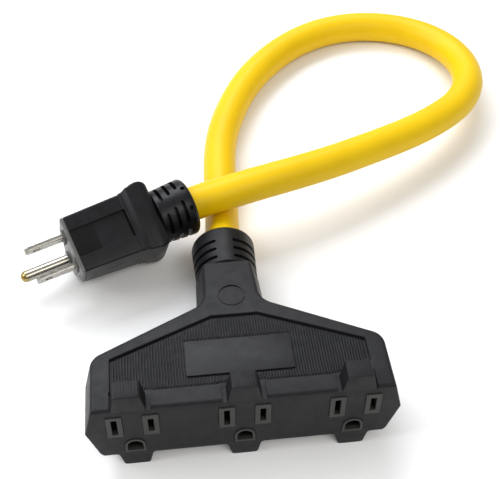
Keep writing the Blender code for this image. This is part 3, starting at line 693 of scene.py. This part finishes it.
def make_panel_ribs(surface):
    """Fine grip ribs of the recessed panel, left out round the plain badge."""
    floor = BODY_TOP - PANEL_DEPTH
    half, front, rear = BADGE
    across, up = Vector((1, 0, 0)), Vector((0, 0, 1))
    ribs = []
    count = int(45.0 / RIB_PITCH)
    for k in range(-count, count + 1):
        x = k * RIB_PITCH
        near_lug = any(abs(x - lug) < 8.2 for lug in LUG_XS)
        spans = [(8.3 if near_lug else 7.9, panel_reach(x) - 0.7)]
        if abs(x) < half + 0.6:
            spans = [(spans[0][0], front - 0.35), (rear + 0.35, spans[0][1])]
        for low, high in spans:
            ribs.append(ridge((x, low, floor), (x, high, floor), 0.41, RIB_HEIGHT, across, up))
    made = piece("tap_panel_ribs", together(ribs), surface)
    return finish(made, TAP)


def make_lug_ribs(surface):
    """Finer ribs over the grip lugs."""
    across, up = Vector((1, 0, 0)), Vector((0, 0, 1))
    ribs = []
    for lug in LUG_XS:
        for k in range(-4, 5):
            x = lug + 0.9 * k
            ribs.append(ridge((x, 0.5, LUG_TOP), (x, LUG_DEPTH - 0.4, LUG_TOP), 0.3, 0.2, across, up))
    made = piece("tap_lug_ribs", together(ribs), surface)
    return finish(made, TAP)


def make_badge(surface):
    """Plain smooth plate level with the ribs round it, and no lettering."""
    half, front, rear = BADGE
    floor = BODY_TOP - PANEL_DEPTH
    centre = (0.0, (front + rear) / 2)
    depth = (rear - front) / 2
    plate = prism(rectangle(centre, half, depth, 0.8, 6), 'Z', floor - 0.3, floor + RIB_HEIGHT + 0.06)
    badge = piece("tap_badge", plate, surface)
    round_edges(badge, 0.2, 3)
    return finish(badge, TAP)


def make_neck_ring(surface):
    """Plain moulded ring on top of the neck."""
    profile = [(4.75, -0.3), (4.75, 0.14), (4.85, 0.24), (5.1, 0.24), (5.2, 0.14), (5.2, -0.3)]
    place = Matrix.Translation((0, 47.5, BODY_TOP))
    ring = piece("tap_neck_ring", lathe(profile, place, closed=True), surface)
    return finish(ring, TAP)


# ---------------------------------------------------------------- strain reliefs

def make_relief(name, where, place, span, radii, slots, holes, surface, node):
    spigot_start, start, end = span
    shoulder = start + RELIEF_SHOULDER
    near, far = radii
    rim = 2.2
    outer = [(7.7, spigot_start), (7.7, start), (near - 0.5, start), (near - 0.15, start + 0.15),
             (near, start + 0.5)]
    for k in range(9):
        angle = math.pi / 2 * k / 8
        outer.append((far - rim + rim * math.cos(angle), end - rim + rim * math.sin(angle)))
    inner = [(CORD_BORE + 0.4, end), (CORD_BORE, end - 0.4), (CORD_BORE, shoulder), (5.6, shoulder),
             (5.6, spigot_start)]
    relief = piece(name, lathe(outer + inner, place, closed=True), surface)
    cuts = [ring_sector(CORD_BORE + 1.2, far + 3, along, width, low, high, place)
            for along, width, low, high in slots]
    for along, angle, radius in holes:
        direction = math.radians(angle)
        drill = (place @ Matrix.Rotation(direction, 4, 'Z') @ Matrix.Translation((0, 0, along))
                 @ Matrix.Rotation(math.pi / 2, 4, 'Y'))
        depths = (CORD_BORE + 1.2, far + 3)
        cuts.append(lathe([(0, depths[0]), (radius, depths[0]), (radius, depths[1]), (0, depths[1])],
                          drill, steps=16))
    cut(relief, together(cuts))
    return finish(relief, where, [node])


# ---------------------------------------------------------------- plug

def plug_ring(depth, inset):
    """Cross-section of the plug's body at a depth behind its face, moved inwards by an inset."""
    table = np.array(PLUG_SECTIONS)
    half, top, side, *lower = (np.interp(depth, table[:, 0], column) for column in table.T[1:])
    shoulder_y, shoulder_z, ridge_y, ridge_z, base_y, base_z = lower
    right = [(base_y - inset, base_z + inset, 1.2), (ridge_y - inset, ridge_z + inset, 0.8),
             (shoulder_y - inset, shoulder_z + inset, 1.5), (half - inset, side + inset, 1.2),
             (half - inset, top - inset, 0.9)]
    left = [(-y, z, radius) for y, z, radius in reversed(right)]
    return [(-depth, y, z) for y, z in rounded(right + left, steps=5)]


def tee(half, top, step, foot_half, foot):
    return [(-half, top), (-half, step), (-foot_half, step), (-foot_half, foot),
            (foot_half, foot), (foot_half, step), (half, step), (half, top)]


def make_plug_body(surface):
    rings = [plug_ring(depth, inset) for depth, inset in PLUG_STATIONS]
    body = piece("plug_moulding", loft(rings), surface)
    cut(body, prism(tee(9.8, 4.8, -7.3, 4.7, -16.8), 'X', -9.6, 0))
    cut(body, prism(tee(9.0, 5.0, -9.0, 4.5, -15.0), 'X', -30.5, -9.0))
    bore = [(0, 30.0), (8.0, 30.0), (8.0, PLUG_LENGTH + 1), (0, PLUG_LENGTH + 1)]
    cut(body, lathe(bore, PLUG_AXIS))
    rings = []
    for depth, half, floor in PLUG_PANEL:
        right = [(half, floor), (half, 8.2), (half + 0.3, 8.5), (half + 0.3, 13.0)]
        left = [(-y, z) for y, z in reversed(right)]
        rings.append([(-depth, y, z) for y, z in right + left])
    cut(body, loft(rings))
    cut(body, box((-25.2, -24.55), (-5.8, 5.8), (5.7, 12)))
    return finish(body, PLUG, ["plug_body"])


def make_plug_ribs(surface):
    """Fine cross ribs on the panel next to the plug's face."""
    across, up = Vector((-1, 0, 0)), Vector((0, 0, 1))
    ribs = []
    for k in range(15):
        depth = 2.2 + 0.62 * k
        floor = PLUG_PANEL[0][2] - 1.1 * (depth - 0.5) / 24.7
        ribs.append(ridge((-depth, -5.4, floor), (-depth, 5.4, floor), 0.27, 0.26, across, up))
    made = piece("plug_panel_ribs", together(ribs), surface)
    return finish(made, PLUG)


def make_insert(surface):
    stations = ((0.0, 0.35), (0.1, 0.1), (0.3, 0.0), (1.2, 0.0), (1.35, 0.15))
    insert = piece("plug_face", loft([plug_ring(depth, inset) for depth, inset in stations]), surface)
    fuse(insert, prism(tee(9.5, 4.5, -7.0, 4.4, -16.5), 'X', -9.0, -0.6))
    bosses = [prism(rectangle((side * BLADE_OFFSET, 0), 2.1, 4.7, 0.9), 'X', -0.6, 0.95)
              for side in (-1, 1)]
    bosses.append(lathe([(0, -0.9), (3.7, -0.9), (3.7, 0.6), (0, 0.6)], PIN_AXIS))
    fuse(insert, together(bosses))
    holes = [prism(rectangle((side * BLADE_OFFSET, 0), 0.9, 3.35), 'X', -12, 2) for side in (-1, 1)]
    holes.append(lathe([(0, -2), (2.55, -2), (2.55, 12), (0, 12)], PIN_AXIS))
    for y, z in ((0.0, 4.6), (0.0, -4.4), (-9.6, -5.8), (9.6, -5.8)):
        place = Matrix.Translation((0, y, z - PLUG_AXIS_Z)) @ PLUG_AXIS
        holes.append(lathe([(0, -1), (0.55, -1), (0.55, 0.7), (0, 0.7)], place, steps=20))
    cut(insert, together(holes))
    round_edges(insert, 0.16, 2)
    return finish(insert, PLUG, ["plug_face_insert"])


def crimp_cup(place, start, end):
    profile = [(0, start), (2.2, start), (2.2, end), (1.5, end), (1.5, start + 1.2), (0, start + 1.2)]
    return lathe(profile, place, steps=32)


def make_blade(name, node, side, surface):
    tip, half, thick = BLADE_TIP, BLADE_HALF, BLADE_THICKNESS / 2
    outline = rounded([(-12.6, -half, 0), (tip - 1.2, -half, 0.4), (tip, -half + 1.3, 0.4),
                       (tip, half - 1.3, 0.4), (tip - 1.2, half, 0.4), (-12.6, half, 0)], 3)
    y = side * BLADE_OFFSET
    blade = piece(name, prism(outline, 'Y', y - thick, y + thick), surface)
    hole = lathe([(0, -3), (1.6, -3), (1.6, 3), (0, 3)],
                 Matrix.Translation((12.0, y, 0)) @ Matrix.Rotation(math.pi / 2, 4, 'X'), steps=40)
    cut(blade, hole)
    round_edges(blade, 0.2, 3)
    fuse(blade, crimp_cup(Matrix.Translation((0, y, -PLUG_AXIS_Z)) @ PLUG_AXIS, 12.0, 19.0))
    return finish(blade, PLUG, [node])


def make_ground_pin(surface):
    dome = [(PIN_RADIUS * math.sin(a), -PIN_TIP + PIN_RADIUS * (1 - math.cos(a)))
            for a in np.linspace(0, math.pi / 2, 14)]
    root = [(PIN_RADIUS, 11.0), (2.2, 11.0), (2.2, 19.0), (1.5, 19.0), (1.5, 13.2), (0, 13.2)]
    pin = piece("plug_pin", lathe(dome + root, PIN_AXIS), surface)
    return finish(pin, PLUG, ["plug_ground_pin"])


# ---------------------------------------------------------------- stage

def make_floor(surface):
    bm = bmesh.new()
    bmesh.ops.create_grid(bm, x_segments=4, y_segments=4, size=3.0)
    mesh = bpy.data.meshes.new("studio_floor")
    bm.to_mesh(mesh)
    bm.free()
    mesh.materials.append(surface)
    floor = bpy.data.objects.new("studio_floor", mesh)
    bpy.context.scene.collection.objects.link(floor)


def area_light(name, place, target, size, power, colour):
    data = bpy.data.lights.new(name, 'AREA')
    data.color = colour
    data.shape = 'RECTANGLE'
    data.size, data.size_y = size
    data.energy = power
    light = bpy.data.objects.new(name, data)
    light.location = place
    light.rotation_euler = (Vector(target) - Vector(place)).to_track_quat('-Z', 'Y').to_euler()
    bpy.context.scene.collection.objects.link(light)


def make_lights():
    middle = (0.03, 0.06, 0.0)
    area_light("key_soft", (-0.25, 0.85, 1.0), middle, (1.3, 0.7), 17.0, (0.94, 0.96, 1.0))
    area_light("fill_front", (0.4, -0.8, 1.3), middle, (1.0, 0.7), 7.5, (1.0, 0.98, 0.94))
    area_light("side_left", (-1.1, 0.1, 0.9), middle, (0.7, 0.9), 9.0, (0.97, 0.98, 1.0))
    world = bpy.data.worlds.new("studio")
    world.use_nodes = True
    world.node_tree.nodes["Background"].inputs["Color"].default_value = (1.0, 1.0, 1.0, 1.0)
    world.node_tree.nodes["Background"].inputs["Strength"].default_value = 0.45
    bpy.context.scene.world = world
    bpy.context.scene.view_settings.view_transform = 'Standard'


# ---------------------------------------------------------------- assembly

def dress_inner_nodes():
    """Procedural materials for the frame's own pieces that stay as they are."""
    # carrier material with painted shade in the depth of its slots
    carrier = carrier_nylon("carrier_nylon")
    cover = vinyl("cover_nylon", linear(62, 62, 60), linear(72, 72, 70), (0.4, 0.5), 0.1)
    brass = metal("contact_brass_sheet", linear(196, 158, 84), linear(214, 178, 104))
    copper = metal("copper_wire", linear(190, 110, 70), linear(214, 134, 90))
    sheaths = {"line": vinyl("sheath_black", linear(26, 26, 27), linear(34, 34, 35)),
               "neutral": vinyl("sheath_white", linear(226, 226, 220), linear(238, 238, 233)),
               "ground": vinyl("sheath_green", linear(24, 120, 52), linear(34, 140, 64))}
    surfaces = {"tap_contact_carrier": carrier, "tap_carrier_cover": cover}
    for core, sheath in sheaths.items():
        surfaces[f"tap_{core}_bus"] = brass
        for end in ("tap", "plug"):
            surfaces[f"{end}_{core}_conductor"] = sheath
            surfaces[f"{end}_{core}_copper"] = copper
    for node, surface in surfaces.items():
        for slot in frame["nodes"][node].material_slots:
            slot.material = surface


def build():
    make_camera()
    cord, exit_point, length = make_cord(jacket())
    shell = vinyl("shell_vinyl", linear(20, 20, 22), linear(27, 27, 30), (0.42, 0.54), 0.3, 0.2)
    plate = vinyl("plate_vinyl", linear(18, 18, 20), linear(22, 22, 25), (0.36, 0.44), 0.12, 0.2)
    relief = vinyl("relief_vinyl", linear(16, 16, 17), linear(22, 22, 24), (0.36, 0.48), 0.2, 0.18)
    plug_vinyl = vinyl("plug_vinyl", linear(14, 14, 16), linear(20, 20, 23), (0.3, 0.42), 0.2, 0.24)
    insert = vinyl("insert_nylon", linear(86, 86, 84), linear(106, 106, 104), (0.35, 0.45), 0.1, 0.3)
    nickel = metal("nickel_blade", linear(170, 167, 159), linear(177, 174, 166))
    make_tap_body(shell)
    make_panel_ribs(shell)
    make_lug_ribs(shell)
    make_badge(plate)
    make_neck_ring(shell)
    tap_slots = [(along, 1.5, low, low + 150) for along in (69.2, 73.4, 77.6) for low in (15, 195)]
    make_relief("tap_relief", TAP, TAP_AXIS, TAP_RELIEF, (12.3, 12.9), tap_slots, [], relief,
                "tap_strain_relief")
    plug_slots = []
    for along, shift in ((40.3, 0), (44.0, 14), (47.7, 28)):
        for low, high in ((14, 62), (76, 166), (194, 284), (298, 346)):
            plug_slots.append((along, 1.5, low - shift / 2, high - shift / 2))
    plug_holes = [(50.2, angle, 0.95) for angle in (-24, 20, 150, 210)]
    plug_relief = make_relief("plug_relief", PLUG, PLUG_AXIS, PLUG_RELIEF, (11.3, 12.1), plug_slots,
                              plug_holes, plug_vinyl, "plug_strain_relief")
    on_cord = [make_plug_body(plug_vinyl), make_plug_ribs(plug_vinyl), make_insert(insert),
               make_blade("plug_blade_line", "plug_line_blade", -1, nickel),
               make_blade("plug_blade_neutral", "plug_neutral_blade", 1, nickel),
               make_ground_pin(pin_metal("pin_metal")), plug_relief]
    on_cord += [f"plug_{core}_{part}" for core in ("line", "neutral", "ground")
                for part in ("conductor", "copper")]
    dress_inner_nodes()
    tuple(exit_point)
    make_floor(floor_material())
    make_lights()


build()
